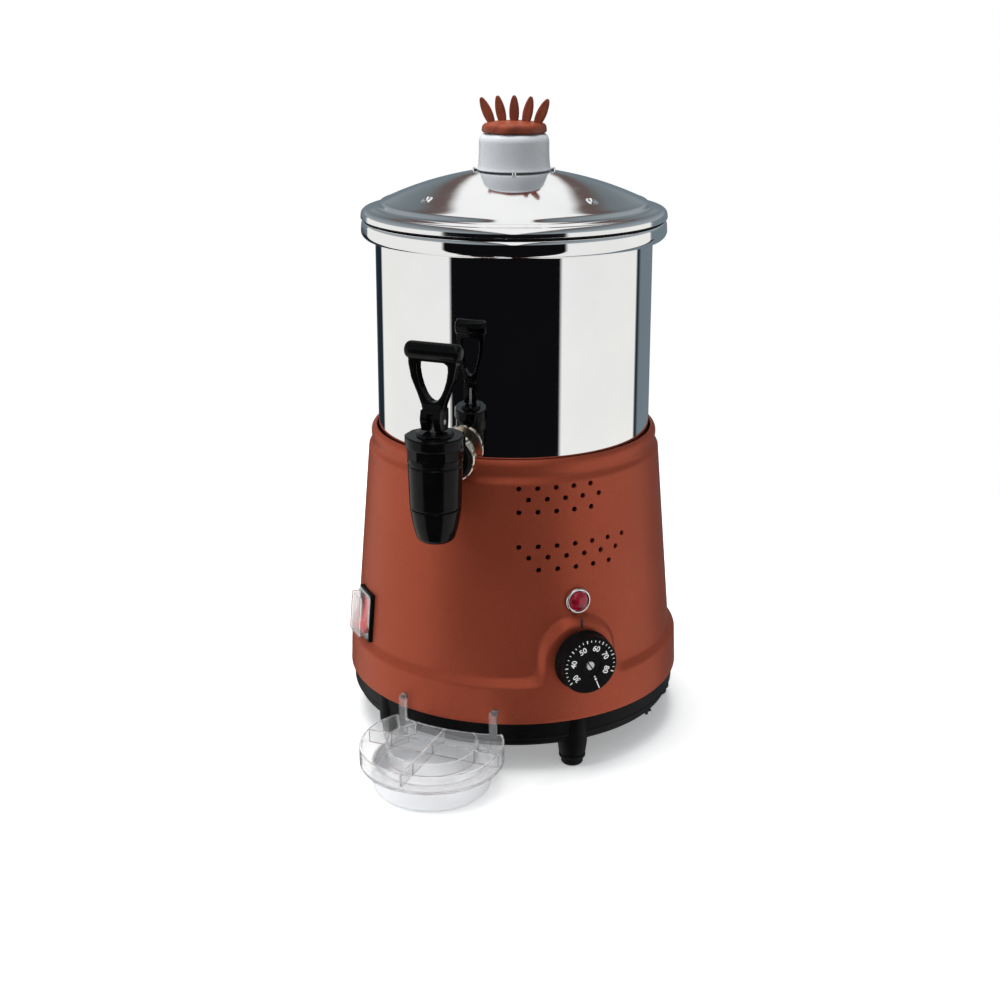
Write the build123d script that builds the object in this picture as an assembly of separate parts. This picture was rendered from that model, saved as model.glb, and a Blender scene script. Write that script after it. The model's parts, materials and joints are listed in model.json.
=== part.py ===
from build123d import *
import os
from math import asin, cos, degrees, pi, radians, sin, sqrt

# Heated sauce dispenser: a water-jacketed tank with a stirrer, a front tap and a drip tray.
# Modelled about the tank axis, tap towards -Y, then moved so that the origin is the middle
# of the footprint on the counter. Angles run from the tap (0) towards +X.

# ---- driving dimensions, millimetres ----
TANK_R = 115.0            # outside of the mirror-finished water jacket
TANK_FLOOR_Z = 215.0      # underside of the jacket
VESSEL_R = 101.0          # outside of the inner product vessel
VESSEL_FLOOR_Z = 250.0
RIM_TOP_Z = 432.0         # top of the vessel's rolled rim
RIM_R = 126.9
COLLAR_TOP_Z = 258.0      # top of the housing's collar
SHOULDER_Z = 240.0
CONE_FOOT_R = 136.5       # housing cone at the skirt step
CONE_TOP_R = 123.7        # housing cone at the shoulder
SKIRT_R = 143.0           # raised skirt at the housing's bottom edge
SKIRT_TOP_Z = 80.0
HOUSING_Z = 44.0          # bottom edge of the housing
WALL = 2.5                # housing and base wall
BASE_Z = 22.0             # underside of the base pan
FOOT_R = 130.0            # circle that the feet stand on
FOOT_ANGLES = [-28 + 72 * i for i in range(5)]
LUG_ANGLES = [80, 152, 224, 296]
LUG_R = 134.0             # circle of the screws that join housing and base
KNOB_ANGLE, KNOB_Z, KNOB_DIA = 45, 96.0, 50.0
LAMP_ANGLE, LAMP_Z = 45, 142.0
SWITCH_ANGLE, SWITCH_Z = -45, 101.8
VENT_DIA = 4.1            # cooling holes in the housing
TAP_R = 159.0             # tap axis from the tank axis
TAP_SHANK_Z = 260.5
HANDLE_PIVOT_Z = 298.0
HANDLE_LIFT = 6.0         # stem travel over the handle's full tilt
HANDLE_TILT = radians(60)
GRIP_R = 6.8              # cross bar at the top of the handle
TRAY_R = 171.0            # centre of the drip tray from the tank axis
TRAY_RADIUS = 57.5
TRAY_Z, TRAY_TOP_Z = 22.3, 37.0
TRAY_BACK_R = 146.0       # the tray's hollowed back clears the base
HOOK_X = 40.0
GLAND_REACH = 158.0       # rear end of the cord gland from the tank axis
GEAR_MODULE, GEAR_TEETH, PINION_TEETH = 1.25, 48, 12
SHAFT_R = 4.0
FIT = 0.05                # radial running clearance

AXIS_Y = (TRAY_R + TRAY_RADIUS - GLAND_REACH) / 2
GEAR_CENTRES = GEAR_MODULE * (GEAR_TEETH + PINION_TEETH) / 2

os.makedirs("parts", exist_ok=True)


def save(name, shape):
    """Write one node, moved from the tank axis to the footprint's middle."""
    moved = [Pos(0, AXIS_Y, 0) * solid for solid in shape.solids()]
    whole = moved[0] if len(moved) == 1 else Compound(children=moved)
    export_step(whole, f"parts/{name}.step")


def turn(points):
    """Solid of revolution about the tank axis from (radius, height) points."""
    return revolve(Plane.XZ * make_face(Polyline(*points, close=True)), axis=Axis.Z)


def rod(r, z0, z1, x=0, y=0):
    return Pos(x, y, z0) * Cylinder(r, z1 - z0, align=(Align.CENTER, Align.CENTER, Align.MIN))


def ring(r_out, r_in, z0, z1, x=0, y=0):
    return rod(r_out, z0, z1, x, y) - rod(r_in, z0 - 1, z1 + 1, x, y)


def block(x0, x1, y0, y1, z0, z1):
    return Pos((x0 + x1) / 2, (y0 + y1) / 2, (z0 + z1) / 2) * Box(x1 - x0, y1 - y0, z1 - z0)


def place(radius, angle):
    """X and Y at an angle from the tap."""
    return radius * sin(radians(angle)), -radius * cos(radians(angle))


def outward(radius, angle, z, rise=0):
    """Plane facing out of the housing: local x runs round it, local y is up."""
    a, e = radians(angle), radians(rise)
    x, y = place(radius, angle)
    normal = (sin(a) * cos(e), -cos(a) * cos(e), sin(e))
    return Plane(origin=(x, y, z), x_dir=(cos(a), sin(a), 0), z_dir=normal)


def bar(plane, r, start, end, x=0, y=0):
    """Round bar along a plane's normal."""
    solid = Cylinder(r, end - start, align=(Align.CENTER, Align.CENTER, Align.MIN))
    return plane * Pos(x, y, start) * solid


def slab(plane, width, height, start, end, x=0, y=0):
    """Rectangular bar along a plane's normal."""
    solid = Box(width, height, end - start, align=(Align.CENTER, Align.CENTER, Align.MIN))
    return plane * Pos(x, y, start) * solid


def hexagon(across, start, end, plane=Plane.XY):
    """Six-sided bar, measured across its flats."""
    flat = RegularPolygon(across / 2, 6, major_radius=False)
    return plane * Pos(0, 0, start) * extrude(flat, end - start)


def cone_r(z):
    slope = (CONE_FOOT_R - CONE_TOP_R) / (SHOULDER_Z - SKIRT_TOP_Z)
    return CONE_FOOT_R - (z - SKIRT_TOP_Z) * slope


def skirt_r(z):
    return SKIRT_R - (z - HOUSING_Z) / 30


def on_cone(angle, z):
    """Plane lying on the cone's outside, facing out square to it."""
    rise = degrees(asin((CONE_FOOT_R - CONE_TOP_R) / (SHOULDER_Z - SKIRT_TOP_Z)))
    return outward(cone_r(z), angle, z, rise)


# ---- housing: cone, collar, raised skirt and the knob's raised bay ----
def housing_form(inset, floor):
    """Solid inside the housing's skin, brought in by inset."""
    top = SHOULDER_Z - inset
    r = cone_r(SHOULDER_Z) - inset
    cone = turn([(0, floor), (cone_r(floor) - inset, floor), (r, top), (r - 2.4, top + 3), (0, top + 3)])
    edge = SKIRT_TOP_Z - inset
    low, high = skirt_r(floor) - inset, skirt_r(edge) - inset
    skirt = turn([(0, floor), (low, floor), (high, edge - 2), (high - 1.6, edge), (0, edge)])
    out = outward(0, KNOB_ANGLE, KNOB_Z)
    arch = bar(out, 34 - inset, 90, 160)
    arch += slab(out, 68 - 2 * inset, KNOB_Z - floor, 90, 160, 0, -(KNOB_Z - floor) / 2)
    bay = arch & turn([(0, floor), (low, floor), (skirt_r(140) - inset, 140), (0, 140)])
    return cone + skirt + bay


def make_housing():
    collar = turn(
        [
            (TANK_R, 238),
            (121.4, 238),
            (121.4, 243),
            (120.3, 244.6),
            (121.2, 247),
            (121.4, 252),
            (120.4, 256.4),
            (118.4, COLLAR_TOP_Z),
            (TANK_R, COLLAR_TOP_Z),
        ]
    )
    shell = housing_form(0, HOUSING_Z) + collar
    shell -= housing_form(WALL, HOUSING_Z - 1)
    shell -= rod(TANK_R + 1.6, 230, 270)
    for angle in LUG_ANGLES:
        x, y = place(LUG_R, angle)
        shell += rod(6.5, 50.2, 70, x, y) & rod(skirt_r(60) - 1, 50, 71)
        shell -= rod(2.1, 49, 66.5, x, y)
    vent_rows = [(236.4, 24.0, 5), (227, 27.5, 5), (217, 24.0, 5)]
    vent_rows += [(189, 24.0, 7), (180, 27.5, 6), (170, 31.0, 5)]
    for z, first, count in vent_rows:
        for i in range(count):
            shell -= bar(outward(100, first + 6.9 * i, z), VENT_DIA / 2, 0, 45)
    shell -= bar(outward(100, LAMP_ANGLE, LAMP_Z), 8, 0, 50)
    shell -= bar(outward(100, KNOB_ANGLE, KNOB_Z), 5.2, 0, 60)
    shell -= slab(on_cone(SWITCH_ANGLE, SWITCH_Z), 31.4, 42.4, -30, 30)
    shell -= bar(outward(100, 180, 66), 8.1, 0, 60)
    shell -= bar(outward(100, 0, TAP_SHANK_Z), 11, 0, 40)
    for side in (-1, 1):
        x = side * HOOK_X
        shell -= block(x - 4.2, x + 4.2, -150, -125, 50.5, 58.5)
    save("housing_shell", shell)


# ---- base pan, feet and the screws that hold them ----
def make_base():
    edge = [(136.5, BASE_Z), (137.6, 23.2), (138.4, 28.4), (139.8, 29.6), (141.6, HOUSING_Z)]
    pan = turn([(0, BASE_Z)] + edge + [(0, HOUSING_Z)])
    pan -= turn([(0, 25), (135, 25), (138, HOUSING_Z + 0.1), (0, HOUSING_Z + 0.1)])
    pan += ring(139.9, 137.6, HOUSING_Z - 0.5, 50)
    for angle in FOOT_ANGLES:
        x, y = place(FOOT_R, angle)
        pan += rod(12.5, 9, HOUSING_Z, x, y)
        pan -= rod(2.6, 8, HOUSING_Z + 1, x, y)
    for angle in LUG_ANGLES:
        x, y = place(LUG_R, angle)
        pan += rod(6, 24, 50, x, y)
        pan -= rod(2.1, 20, 51, x, y)
    for angle in range(0, 360, 45):
        pan -= slab(outward(45, angle + 22, 24), 5, 8, 0, 45)
    for angle in (0, 120, 240):
        x, y = place(88, angle)
        pan -= rod(2.6, 20, 26, x, y)
    save("base_pan", pan)
    feet, studs, screws, bolts, pillars = [], [], [], [], []
    for angle in FOOT_ANGLES:
        x, y = place(FOOT_R, angle)
        foot = rod(9, 0, 9, x, y) + rod(11, 6, 9, x, y)
        foot = chamfer(foot.edges().group_by(Axis.Z)[0], 1.2)
        feet.append(foot - rod(2.55, 4, 10, x, y))
        studs.append(rod(2.5, 4.2, 49, x, y) + Pos(x, y, 0) * hexagon(8, 44, 48))
    for angle in LUG_ANGLES:
        x, y = place(LUG_R, angle)
        screws.append(rod(2, 21, 66, x, y) + rod(4, 19.4, BASE_Z, x, y))
    for angle in (0, 120, 240):
        x, y = place(88, angle)
        bolts.append(rod(2.5, 21, 37, x, y) + rod(4.5, 19.4, BASE_Z, x, y))
        pillar = Pos(x, y, 0) * hexagon(10, 25, TANK_FLOOR_Z)
        pillars.append(pillar - rod(2.55, 24, 38, x, y))
    save("rubber_feet", Compound(children=feet))
    save("foot_studs", Compound(children=studs))
    save("housing_screws", Compound(children=screws))
    save("pillar_bolts", Compound(children=bolts))
    save("tank_pillars", Compound(children=pillars))


# ---- tank: water jacket, product vessel, central column and heater ----
ELEMENT_R, ELEMENT_GAP = 60.0, 14.0
BULB_X = 28.0


def make_tank():
    tap_way = bar(outward(90, 0, TAP_SHANK_Z), 9.05, 0, 40)
    wall = TANK_R - 1
    jacket = turn([(0, 215), (TANK_R, 215), (TANK_R, 430), (wall, 430), (wall, 216.5), (0, 216.5)])
    jacket -= tap_way + rod(12.05, 214, 218)
    for side in (-1, 1):
        jacket -= rod(4.3, 214, 218, ELEMENT_R, side * ELEMENT_GAP)
    jacket -= rod(1.3, 214, 218, BULB_X, -BULB_X)
    save("water_jacket", jacket)
    vessel = turn(
        [
            (12.05, VESSEL_FLOOR_Z),
            (99, VESSEL_FLOOR_Z),
            (VESSEL_R, 252),
            (VESSEL_R, 430),
            (124, 430),
            (125.4, 428.6),
            (125.4, 420.2),
            (124, 418.6),
            (120.5, 418.6),
            (120.5, 417.2),
            (124.6, 417.2),
            (RIM_R, 419.8),
            (RIM_R, 429.8),
            (124.8, RIM_TOP_Z),
            (101.2, RIM_TOP_Z),
            (99.8, 430.6),
            (99.8, 252.6),
            (98.4, 251.2),
            (12.05, 251.2),
        ]
    )
    save("product_vessel", vessel - tap_way)
    save("column_tube", ring(12, 10, 214, 452))
    upper = ring(9.95, SHAFT_R + FIT, 440, 453.5) + ring(12, SHAFT_R + FIT, 452, 453.5)
    save("shaft_bushes", Compound(children=[upper, ring(9.95, SHAFT_R + FIT, 214, 228)]))
    loop_r = sqrt(ELEMENT_R**2 + ELEMENT_GAP**2)
    turn_angle = 360 - 2 * degrees(asin(ELEMENT_GAP / loop_r))
    start = Plane(
        origin=(ELEMENT_R, ELEMENT_GAP, 232),
        x_dir=(ELEMENT_R, ELEMENT_GAP, 0),
        z_dir=(-ELEMENT_GAP, ELEMENT_R, 0),
    )
    heater = revolve(start * Circle(4.25), axis=Axis.Z, revolution_arc=turn_angle)
    for side in (-1, 1):
        heater += rod(4.25, 203, 232, ELEMENT_R, side * ELEMENT_GAP)
        heater += rod(2.5, 195, 203, ELEMENT_R, side * ELEMENT_GAP)
        heater += Pos(ELEMENT_R, side * ELEMENT_GAP, 232) * Sphere(4.25)
    save("heating_element", heater)
    nuts = []
    for side in (-1, 1):
        nut = Pos(ELEMENT_R, side * ELEMENT_GAP, 0) * hexagon(14, 209, TANK_FLOOR_Z)
        nuts.append(nut - rod(4.3, 208, 216, ELEMENT_R, side * ELEMENT_GAP))
    save("element_nuts", Compound(children=nuts))
    cutout = rod(8.5, 207, TANK_FLOOR_Z, -BULB_X, -BULB_X)
    save("safety_cutout", cutout + rod(3, 200, 207.1, -BULB_X, -BULB_X))


# ---- drive: motor, gears, shafts and the stirrer ----
def toothed(teeth, thickness_share, z0, z1, first):
    """Spur gear with straight-sided teeth; first is the angle of its first tooth."""
    pitch_r = GEAR_MODULE * teeth / 2
    root_r, tip_r = pitch_r - 1.1 * GEAR_MODULE, pitch_r + 0.85 * GEAR_MODULE
    step = 2 * pi / teeth
    points = []
    for i in range(teeth):
        middle = first + i * step
        for r, share in ((root_r, -1.25), (tip_r, -0.55), (tip_r, 0.55), (root_r, 1.25)):
            a = middle + share * thickness_share * step / 2
            points.append((r * cos(a), r * sin(a)))
    return Pos(0, 0, z0) * extrude(make_face(Polyline(*points, close=True)), z1 - z0)


def make_drive():
    gear_rear = pi / 2
    gear = toothed(GEAR_TEETH, 0.42, 157, 164, gear_rear) - rod(SHAFT_R + FIT, 150, 170)
    for i in range(6):
        a = 2 * pi * i / 6
        gear -= rod(5, 150, 170, 17 * cos(a), 17 * sin(a))
    save("output_gear", gear + ring(9, SHAFT_R + FIT, 157, 168))
    pinion = toothed(PINION_TEETH, 0.42, 155, 166, -gear_rear + pi / PINION_TEETH)
    save("motor_pinion", Pos(0, GEAR_CENTRES, 0) * (pinion - rod(2.55, 150, 170)))
    save("gear_shaft", rod(SHAFT_R, 150.3, 196))
    save("drive_shaft", rod(SHAFT_R, 196.5, 463))
    save("shaft_coupling", ring(9, SHAFT_R + FIT, 184, 210))
    bore = SHAFT_R + FIT
    case = block(-36, 36, -36, 54, 150, 170)
    case = fillet(case.edges().filter_by(Axis.Z), 10)
    cavity = block(-33.5, 33.5, -33.5, 51.5, 152.5, 171)
    case -= fillet(cavity.edges().filter_by(Axis.Z), 8)
    save("gearbox_case", case - rod(bore, 149, 153) - rod(2.55, 149, 153, 0, GEAR_CENTRES))
    cover = fillet(block(-36, 36, -36, 54, 170, 173).edges().filter_by(Axis.Z), 10)
    save("gearbox_cover", cover - rod(bore, 169, 174))
    can = ring(29, 27.5, 92, 150) + rod(29, 92, 94) + rod(29, 148.5, 150)
    can += rod(6, 94, 98)
    can -= rod(2.55, 94.5, 151)
    save("motor_can", Pos(0, GEAR_CENTRES, 0) * can)
    stator = ring(27.4, 15.6, 104, 136)
    save("motor_stator", Pos(0, GEAR_CENTRES, 0) * stator)
    rotor = rod(15, 102, 138) + rod(2.5, 94.7, 167)
    save("motor_rotor", Pos(0, GEAR_CENTRES, 0) * rotor)
    bracket = ring(70, 12, 173, 175)
    spacers, screws = [], []
    for angle in (60, 180, 300):
        x, y = place(60, angle)
        bracket -= rod(2.1, 172, 176, x, y)
        spacers.append(ring(4.5, 2.1, 175, TANK_FLOOR_Z, x, y))
        screws.append(rod(2, 172, 190, x, y) + rod(3.6, 170.6, 173, x, y))
    save("motor_bracket", bracket)
    save("bracket_spacers", Compound(children=spacers))
    save("bracket_screws", Compound(children=screws))


ARM_R, ARM_LOW_Z, ARM_TOP_Z = 94.0, 253.0, 395.0


def make_stirrer():
    hub = ring(16, 13.2, ARM_LOW_Z, 466) + ring(16, SHAFT_R + FIT, 458, 466) + rod(15.9, 464, 466)
    frame = hub
    for side in (-1, 1):
        inner, outer = sorted((side * 15, side * ARM_R))
        low, high = sorted((side * (ARM_R - 6), side * ARM_R))
        frame += block(inner, outer, -2, 2, ARM_LOW_Z, ARM_LOW_Z + 8)
        frame += block(inner, outer, -2, 2, ARM_TOP_Z - 8, ARM_TOP_Z)
        frame += block(low, high, -2, 2, ARM_LOW_Z, ARM_TOP_Z)
    save("stirrer_frame", frame)
    blades = []
    for side in (-1, 1):
        low, high = sorted((side * ARM_R, side * 98.4))
        blades.append(block(low, high, -1.2, 1.2, ARM_LOW_Z, ARM_TOP_Z))
    save("scraper_blades", Compound(children=blades))


# ---- controls: thermostat, pilot lamp, rocker switch, terminals and gland ----
def make_thermostat():
    out = outward(0, KNOB_ANGLE, KNOB_Z)
    body = slab(out, 34, 30, 106, 133) + bar(out, 5, 133, 141.4) - bar(out, 3.05, 112, 142)
    save("thermostat_body", body)
    save("thermostat_spindle", bar(out, 3, 113, 155))
    knob = bar(out, KNOB_DIA / 2, 142.8, 146) + bar(out, KNOB_DIA / 2 - 1.2, 146, 157)
    knob -= bar(out, 3.05, 142, 155.2)
    save("thermostat_knob", knob)
    x = place(105.9, KNOB_ANGLE)[0]
    inner = place(85, KNOB_ANGLE)[0]
    bulb = (BULB_X, -BULB_X)
    stops = [(x, -x, 106), (inner, -inner, 106), (inner, -inner, 180), (*bulb, 200), (*bulb, 222)]
    line = FilletPolyline(*stops, radius=6)
    mouth = Plane(origin=(x, -x, 106), z_dir=(-1, 1, 0))
    tube = sweep(mouth * Circle(1.2), path=line)
    save("thermostat_capillary", tube + rod(3, 218, 246, BULB_X, -BULB_X))


def make_lamp():
    out = on_cone(LAMP_ANGLE, LAMP_Z)

    def lathe(points):
        return out * revolve(Plane.XZ * make_face(Polyline(*points, close=True)), axis=Axis.Z)

    ring = [(7.6, 0.2), (10.8, 0.2), (10.8, 1.6), (10.2, 2.8), (9.4, 3.3), (8.4, 3), (8.4, 1), (7.6, 1)]
    save("lamp_bezel", lathe(ring))
    dome = [(8.2, 1.1), (8.2, 2.4), (7.3, 4.2), (5.5, 5.6), (2.9, 6.4), (0, 6.7)]
    save("lamp_lens", lathe([(0, -5), (7.4, -5), (7.4, 1.1)] + dome))
    save("lamp_body", lathe([(0, -34), (6, -34), (6, -28), (7.4, -28), (7.4, -5.2), (0, -5.2)]))


ROCKER_TILT = 9.0
PIVOT_DEPTH = -1.9         # rocker axis below the cone's surface


def make_switch():
    out = on_cone(SWITCH_ANGLE, SWITCH_Z)
    pivot = out * Pos(0, 0, PIVOT_DEPTH)
    frame = slab(out, 31, 42, -12.9, 2.6) - slab(out, 22, 32, -7.9, 4) - slab(out, 16, 26, -14, -6.9)
    frame -= pivot * Rot(0, 90, 0) * Cylinder(1.25, 25)
    save("switch_frame", frame)
    case = slab(out, 27, 36, -31, -13.1)
    for y in (-9, 0, 9):
        case += slab(out, 6.3, 0.8, -40, -30.9, 0, y)
    save("switch_case", case)
    profile = [(-15, -3), (15, -3), (15, 5), (8, 3.4), (0, 2.6), (-8, 3.4), (-15, 5)]
    side = Plane(origin=(-10.5, 0, 0), x_dir=(0, 1, 0), z_dir=(1, 0, 0))
    rocker = extrude(side * make_face(Polyline(*profile, close=True)), 21)
    rocker += Rot(0, 90, 0) * Cylinder(1.2, 24)
    save("switch_rocker", pivot * Rot(-ROCKER_TILT, 0, 0) * rocker)
    cover = slab(out, 27, 37.4, 2.7, 4.1) + slab(out, 24.6, 35, 2.7, 11)
    cover -= slab(out, 22.2, 32.6, 2, 9.8)
    save("splash_cover", cover)


def make_wiring():
    terminal = block(-30, 30, 91, 109, 25, 41)
    for i in range(5):
        terminal -= rod(2.4, 36, 42, -22 + 11 * i, 100)
    save("terminal_block", terminal)
    out = outward(0, 180, 66)
    gland = bar(out, 8, 132, 149) + hexagon(22, 143.4, 149, out) + bar(out, 9.5, 149, 153)
    cone = Cone(9.5, 6.5, GLAND_REACH - 153, align=(Align.CENTER, Align.CENTER, Align.MIN))
    gland += out * Pos(0, 0, 153) * cone
    save("cord_gland", gland - bar(out, 3.6, 131, 159))


# ---- tap ----
def make_tap():
    out = outward(0, 0, TAP_SHANK_Z)
    cy = -TAP_R
    save("tap_spigot", bar(out, 9, 99.9, 146) - bar(out, 7, 99, 147))
    nut = bar(out, 20, 123.6, 131.4) - bar(out, 9.05, 123, 135)
    for i in range(18):
        a = 2 * pi * i / 18
        nut -= bar(out, 1.8, 123, 135, 20.6 * cos(a), 20.6 * sin(a))
    save("spigot_nut", nut)
    save("tap_flange", bar(out, 17.5, 131.5, 135.9) - bar(out, 9.05, 131, 139))
    body = rod(20.5, 230, 270, 0, cy) + rod(16, 224, 230, 0, cy) + rod(17.5, 270, 279, 0, cy)
    body += bar(out, 13, 136, 155) & rod(30, 240, 270, 0, cy)
    body -= bar(out, 9.05, 135, 146) + bar(out, 7, 145, 158)
    body -= rod(13, 238, 280, 0, cy) + rod(7.5, 220, 239, 0, cy)
    save("tap_body", body)
    taper = Cone(14.5, 20.3, 26.8, align=(Align.CENTER, Align.CENTER, Align.MIN))
    nozzle = Pos(0, cy, 203) * taper - rod(9, 202, 232, 0, cy) - rod(16.05, 223.9, 232, 0, cy)
    save("tap_nozzle", nozzle)
    prism = extrude(RegularPolygon(23.2, 12), 19.8)
    prism = chamfer(prism.edges().group_by(Axis.Z)[-1], 1.5)
    bonnet = Pos(0, cy, 270.2) * prism
    bonnet -= rod(17.6, 270, 279.3, 0, cy) + rod(SHAFT_R + FIT, 270, 291, 0, cy)
    save("tap_bonnet", bonnet)
    plunger = rod(9.5, 238.05, 241.5, 0, cy) + rod(8, 241.5, 247, 0, cy)
    save("tap_plunger", plunger - rod(SHAFT_R + FIT, 241, 248, 0, cy))
    tongue = block(-2.5, 2.5, cy - 3.5, cy + 3.5, 282, 303) & rod(SHAFT_R, 282, 303, 0, cy)
    stem = rod(SHAFT_R, 241.1, 283.5, 0, cy) + rod(6, 247.1, 248.6, 0, cy) + tongue
    pivot = Plane(origin=(0, cy, HANDLE_PIVOT_Z), z_dir=(1, 0, 0))
    stem -= bar(pivot, 2 + FIT, -10, 10)
    save("tap_stem", stem)
    save("handle_pin", bar(pivot, 2, -8.4, 8.4))
    coil = Helix(pitch=4.2, height=28.5, radius=8.5)
    wire = sweep((coil ^ 0) * Circle(0.7), path=coil)
    save("tap_spring", Pos(0, cy, 249.6) * wire)
    make_handle(pivot, cy)


def make_handle(pivot, cy):
    """Lever whose cam lifts the stem evenly as it tips forward."""
    rate = HANDLE_LIFT / HANDLE_TILT
    rest = HANDLE_PIVOT_Z - 290 - 0.3
    cam = []
    for i in range(9):
        a = HANDLE_TILT * i / 8
        reach = rest + rate * a
        cam.append((-reach * sin(a) - rate * cos(a), -reach * cos(a) + rate * sin(a)))
    outline = [(6, -rest)] + cam + [(-13, 4), (-6, 13), (6, 13), (7.5, 6), (7.5, -rest + 1.5)]
    face = Plane(origin=(-7.5, cy, HANDLE_PIVOT_Z), x_dir=(0, 1, 0), z_dir=(1, 0, 0))
    handle = extrude(face * make_face(Polyline(*outline, close=True)), 15)
    front = Plane(origin=(0, cy + 5, 0), x_dir=(1, 0, 0), z_dir=(0, -1, 0))
    half = [(21, 350), (19, 338), (15, 325), (8, 312), (7.5, 306)]
    loop = make_face(Polyline(*half, *[(-x, z) for x, z in reversed(half)], close=True))
    gap = [(13.5, 346), (12.5, 335), (9, 325), (3.5, 315.5)]
    hole = make_face(Polyline(*gap, *[(-x, z) for x, z in reversed(gap)], close=True))
    hole = fillet(hole.vertices(), 2.4)
    handle += extrude(front * loop, 10) - extrude(front * hole, 10)
    handle += Pos(0, cy, 352) * Rot(0, 90, 0) * Cylinder(GRIP_R, 34)
    for side in (-1, 1):
        handle += Pos(side * 17, cy, 352) * Sphere(GRIP_R)
    handle -= block(-2.7, 2.7, cy - 20, cy + 20, 280, 305)
    handle -= bar(pivot, 2 + FIT, -10, 10)
    save("tap_handle", handle)


# ---- drip tray ----
def make_tray():
    cy = -TRAY_R
    clear = rod(TRAY_BACK_R, 0, 100)
    grid = ring(TRAY_RADIUS, TRAY_RADIUS - 2, TRAY_Z, TRAY_TOP_Z, 0, cy)
    grid += ring(TRAY_RADIUS, 45, TRAY_Z, TRAY_Z + 2.2, 0, cy)
    grid += ring(46.1, 44.6, 16, TRAY_Z + 1, 0, cy)
    grid += ring(37, 35.4, TRAY_Z + 4, TRAY_TOP_Z, 0, cy)
    grid += block(-56.5, 56.5, cy - 1, cy + 1, TRAY_Z + 4, TRAY_TOP_Z)
    grid += block(-1, 1, cy - 56.5, -TRAY_BACK_R, TRAY_Z + 4, TRAY_TOP_Z)
    grid -= clear
    back = ring(TRAY_BACK_R + 2, TRAY_BACK_R, TRAY_Z, TRAY_TOP_Z) & rod(TRAY_RADIUS, 20, 40, 0, cy)
    grid += back & block(-60, 60, -200, -100, 20, 40)
    for side in (-1, 1):
        x = side * HOOK_X
        grid += block(x - 3, x + 3, -142.4, -139.4, TRAY_Z + 1, 57)
        grid += block(x - 2.4, x + 2.4, -139.6, -131, 52.5, 56.5)
    save("tray_grid", grid)
    cup = rod(48.4, 0, 21.9, 0, cy)
    cup = chamfer(cup.edges().group_by(Axis.Z)[0], 2.5) - rod(46.4, 2, 23, 0, cy)
    save("drip_cup", cup)


# ---- lid ----
def make_lid():
    outer = ThreePointArc((26, 471.5), (79, 459.5), (111, 446))
    over = [(111, 446), (113, 443.4), (118.5, 441.8), (122.5, 440.4), (125.8, 438.6), (RIM_R, 436.8)]
    under = [(125.6, 436.4), (124.9, 437.4), (122, 439.1), (118, 440.5), (112.2, 442.3), (110.2, 444.8)]
    rim = Polyline(*over, (RIM_R, 435.8), (125.6, 435.8), *under)
    inner = ThreePointArc((110.2, 444.8), (78.7, 458.2), (26, 470.2))
    close = Line((26, 470.2), (26, 471.5))
    dome = revolve(Plane.XZ * make_face(outer + rim + inner + close), axis=Axis.Z)
    save("lid_dome", dome)
    save("lid_gasket", turn([(119, 432.1), (RIM_R, 432.1), (RIM_R, 435.7), (119, 435.7)]))
    foot = [(24, 468.6), (25.9, 468.6), (25.9, 471.6), (33.5, 471.6), (33.5, 472.6), (31, 474), (29.6, 477)]
    outside = [(28.8, 482), (28.6, 496.5), (27, 500.2), (23.4, 502), (0, 502)]
    inside = [(0, 500), (22.8, 500), (25.4, 498.6), (26.6, 496), (26.8, 482), (27.4, 476), (24, 473.2)]
    save("lid_tower", turn(foot + outside + inside))
    lugs, vents = [], []
    for i in range(4):
        x, y = place(32.3, 22 + 90 * i)
        lugs.append(rod(1.2, 474, 475.6, x, y))
        angle = 18.5 + 45 + 90 * i
        normal = outward(92, angle, 454.6, 68)
        cap = Sphere(4) - Pos(0, 0, -4.4) * Box(12, 12, 12)
        vents.append(normal * Pos(0, 0, -0.4) * cap)
    save("lid_rivets", Compound(children=vents + lugs))
    crown = turn([(0, 502.1), (26.4, 502.1), (27, 503), (27, 508.4), (25.6, 510), (0, 511.6)])
    for i in range(5):
        lean = 13 * (i - 2)
        petal = Pos(0, 0, 12.5) * Rot(90, 0, 0) * extrude(Ellipse(3.6, 11.5), 2, both=True)
        crown += Pos(9.6 * (i - 2), 0, 507.8) * Rot(0, lean, 0) * petal
    save("lid_crown", crown)


make_housing()
make_base()
make_tank()
make_drive()
make_stirrer()
make_thermostat()
make_lamp()
make_switch()
make_wiring()
make_tap()
make_tray()
make_lid()
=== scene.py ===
import json
from math import asin, atan2, cos, degrees, hypot, pi, radians, sin

import bmesh
import bpy
import numpy as np
from mathutils import Matrix, Vector


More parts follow.
